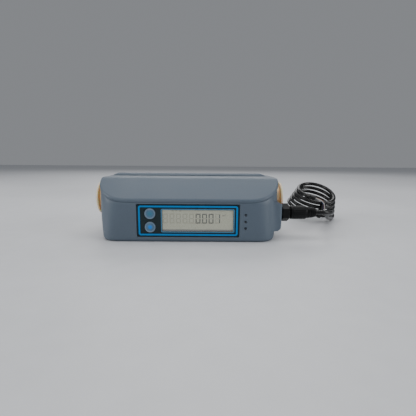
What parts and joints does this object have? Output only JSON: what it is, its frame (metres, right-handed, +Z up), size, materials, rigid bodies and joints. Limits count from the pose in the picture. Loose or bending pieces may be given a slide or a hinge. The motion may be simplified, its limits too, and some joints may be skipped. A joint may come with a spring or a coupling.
{
  "type": "inline flow meter",
  "caption": "Inline ultrasonic volume meter with a digital display, two keys, capped flow tube ends and a plugged-in sensor cable tied in a coil.",
  "frame": {"origin": "middle of the housing's base, below the middle of the flow tube's length", "axes": "+X along the flow tube towards the sensor connector, +Y from the display to the rear, +Z up"},
  "size_m": [0.3033, 0.16, 0.0647],
  "materials": {
    "housing": "fine textured blue-grey moulded plastic",
    "panel": "smooth dark front film",
    "window": "clear polished acrylic",
    "lcd": "reflective grey-green liquid crystal glass",
    "keys": "satin blue-grey key caps",
    "lens": "dark smoked light pipe",
    "brass": "turned brass",
    "ivory_plastic": "translucent ivory polyethylene",
    "connector_plastic": "satin black moulded plastic",
    "cable_jacket": "satin black polyurethane jacket",
    "tie_plastic": "pale nylon",
    "rubber": "soft black rubber",
    "circuit_board": "green solder mask",
    "black_plastic": "fine matt moulded plastic",
    "wire": "smooth wire insulation",
    "battery": "shrink sleeve",
    "steel": "zinc plated"
  },
  "bodies": {
    "root": {"lower_housing": "housing", "top_cover": "housing", "rear_cover": "housing", "display_overlay": "panel", "display_window": "window", "lcd_panel": "lcd", "status_lens_1": "lens", "status_lens_2": "lens", "status_lens_3": "lens", "flow_tube": "brass", "panel_connector": "connector_plastic", "connector_nut": "connector_plastic", "plug_body": "connector_plastic", "cable": "cable_jacket", "cable_coil": "cable_jacket", "flying_leads": "cable_jacket", "connector_lead": "cable_jacket", "cable_tie": "tie_plastic", "cover_gasket": "rubber", "connector_seal": "rubber", "port_seal_left": "rubber", "port_seal_right": "rubber", "main_board": "circuit_board", "lcd_holder": "black_plastic", "processor_chip": "black_plastic", "tact_switch_upper": "black_plastic", "tact_switch_lower": "black_plastic", "transducer_left": "black_plastic", "transducer_right": "black_plastic", "tube_saddle_left": "black_plastic", "tube_saddle_right": "black_plastic", "tube_clamp_left": "black_plastic", "tube_clamp_right": "black_plastic", "battery_holder": "black_plastic", "transducer_lead_left": "wire", "transducer_lead_right": "wire", "battery_lead": "wire", "battery_cell": "battery", "cover_screw_1": "steel", "cover_screw_2": "steel", "cover_screw_3": "steel", "cover_screw_4": "steel", "board_screw_1": "steel", "board_screw_2": "steel", "board_screw_3": "steel", "board_screw_4": "steel", "clamp_screw_1": "steel", "clamp_screw_2": "steel", "clamp_screw_3": "steel", "clamp_screw_4": "steel"},
    "key_upper": {"key_upper": "keys"},
    "key_lower": {"key_lower": "keys"},
    "port_cap_left": {"port_cap_left": "ivory_plastic"},
    "port_cap_right": {"port_cap_right": "ivory_plastic"},
    "coupling_nut": {"coupling_nut": "connector_plastic"}
  },
  "joints": [
    {"name": "key_upper_press", "type": "slide", "parent": "root", "child": "key_upper", "axis": [0, 1, 0], "range_m": [0, 0.0005], "stiffness_N_per_m": 2000},
    {"name": "key_lower_press", "type": "slide", "parent": "root", "child": "key_lower", "axis": [0, 1, 0], "range_m": [0, 0.0005], "stiffness_N_per_m": 2000},
    {"name": "port_cap_left_pull", "type": "slide", "parent": "root", "child": "port_cap_left", "axis": [-1, 0, 0], "range_m": [0, 0.03]},
    {"name": "port_cap_right_pull", "type": "slide", "parent": "root", "child": "port_cap_right", "axis": [1, 0, 0], "range_m": [0, 0.03]},
    {"name": "coupling_nut_turn", "type": "hinge", "parent": "root", "child": "coupling_nut", "pos_m": [0.1146, -0.024, 0.027], "axis": [1, 0, 0], "continuous": true}
  ]
}
